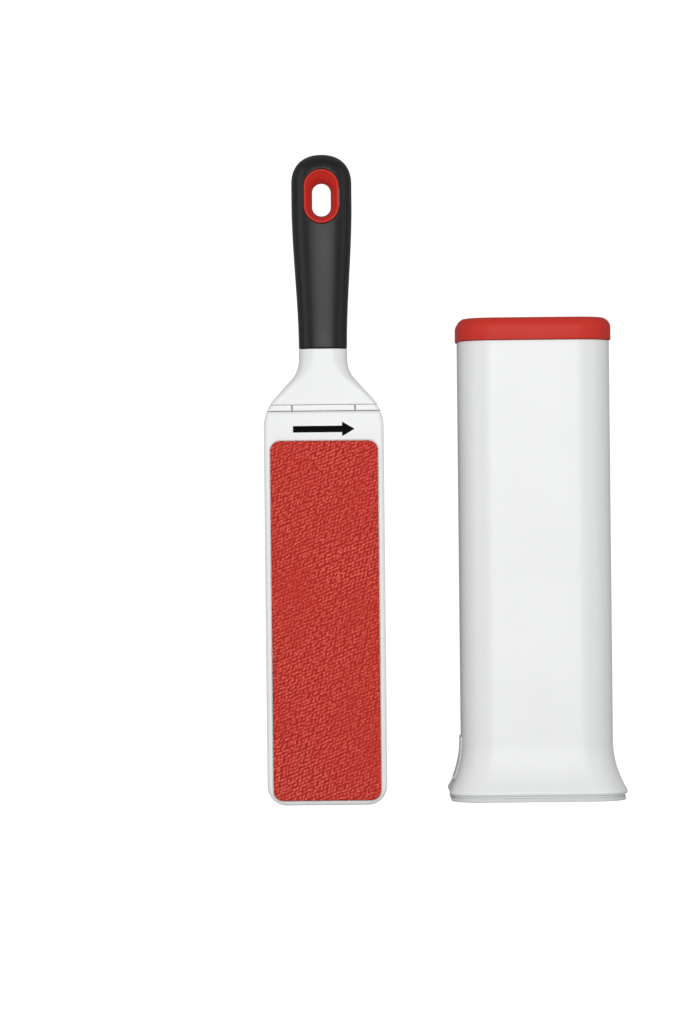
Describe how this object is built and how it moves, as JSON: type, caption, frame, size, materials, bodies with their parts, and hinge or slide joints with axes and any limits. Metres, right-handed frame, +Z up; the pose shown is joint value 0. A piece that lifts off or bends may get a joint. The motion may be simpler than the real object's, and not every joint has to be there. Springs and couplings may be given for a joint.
{
  "type": "lint brush and holder",
  "caption": "Two-sided lint brush with a swivelling fabric-faced paddle head and a soft grip, beside a tall self-cleaning holder with a red rim and a trap door in its foot.",
  "frame": {"origin": "centre of the set's footprint, at the height of the table that both halves stand on", "axes": "+Z up along the brush and the holder, -Y out of the front pad, +X from the brush to the holder"},
  "size_m": [0.1838, 0.0801, 0.33],
  "materials": {
    "white_plastic": "satin white moulding, slightly warm",
    "acetal": "smooth natural acetal",
    "backing_plastic": "plain sheet, hidden under the pile",
    "red_plastic": "satin red moulding",
    "soft_grip": "black thermoplastic elastomer, dull, with a soft sheen",
    "pad_fabric": "short one-way pile in slanting rows, red",
    "wiper_fabric": "short one-way pile, darker red",
    "grey_plastic": "pale blue-grey moulding",
    "steel": "plain turned and drawn steel"
  },
  "bodies": {
    "holder": {"base_shell": "white_plastic", "collar": "red_plastic", "wiper_frame": "white_plastic", "foot_ring": "grey_plastic", "door_pin": "steel", "lever_pin": "steel", "lever_spring": "steel", "front_wiper_spring_left": "steel", "front_wiper_spring_right": "steel", "rear_wiper_spring_left": "steel", "rear_wiper_spring_right": "steel"},
    "front_wiper": {"front_wiper_carrier": "white_plastic", "front_wiper_fabric": "wiper_fabric"},
    "rear_wiper": {"rear_wiper_carrier": "white_plastic", "rear_wiper_fabric": "wiper_fabric"},
    "trap_door": {"trap_door": "grey_plastic"},
    "release_lever": {"release_lever": "white_plastic"},
    "brush_handle": {"grip": "soft_grip", "hang_hole_liner": "red_plastic", "handle_core": "white_plastic", "wear_plate": "acetal", "retaining_pin": "steel", "detent_spring": "steel"},
    "brush_head": {"head_front_shell": "white_plastic", "head_rear_shell": "white_plastic", "swivel_shaft": "steel", "head_screw_1": "steel", "head_screw_2": "steel", "head_screw_3": "steel", "head_screw_4": "steel", "head_screw_5": "steel", "head_screw_6": "steel", "front_pad_backing": "backing_plastic", "front_pad": "pad_fabric", "rear_pad_backing": "backing_plastic", "rear_pad": "pad_fabric"}
  },
  "joints": [
    {"name": "front_wiper_slide", "type": "slide", "parent": "holder", "child": "front_wiper", "axis": [0, -1, 0], "range_m": [0, 0.0025], "stiffness_N_per_m": 400, "springref_m": -0.001, "deforming": ["front_wiper_spring_left", "front_wiper_spring_right"]},
    {"name": "rear_wiper_slide", "type": "slide", "parent": "holder", "child": "rear_wiper", "axis": [0, 1, 0], "range_m": [0, 0.0025], "stiffness_N_per_m": 400, "springref_m": -0.001, "deforming": ["rear_wiper_spring_left", "rear_wiper_spring_right"]},
    {"name": "trap_door_hinge", "type": "hinge", "parent": "holder", "child": "trap_door", "pos_m": [0.08142, 0.00342, 0.0026], "axis": [0, -1, 0], "range_deg": [0, 95]},
    {"name": "release_lever_pivot", "type": "hinge", "parent": "holder", "child": "release_lever", "pos_m": [0.01197, 0.00342, 0.03], "axis": [0, -1, 0], "range_deg": [0, 8], "stiffness_Nm_per_rad": 0.06, "springref_deg": -8.59, "deforming": ["lever_spring"]},
    {"name": "brush_lift", "type": "slide", "parent": "holder", "child": "brush_handle", "axis": [0, 0, 1], "range_m": [0, 0.26]},
    {"name": "head_swivel", "type": "hinge", "parent": "brush_handle", "child": "brush_head", "pos_m": [-0.06153, -0.02958, 0.2001], "axis": [0, 0, 1], "range_deg": [0, 180]}
  ]
}
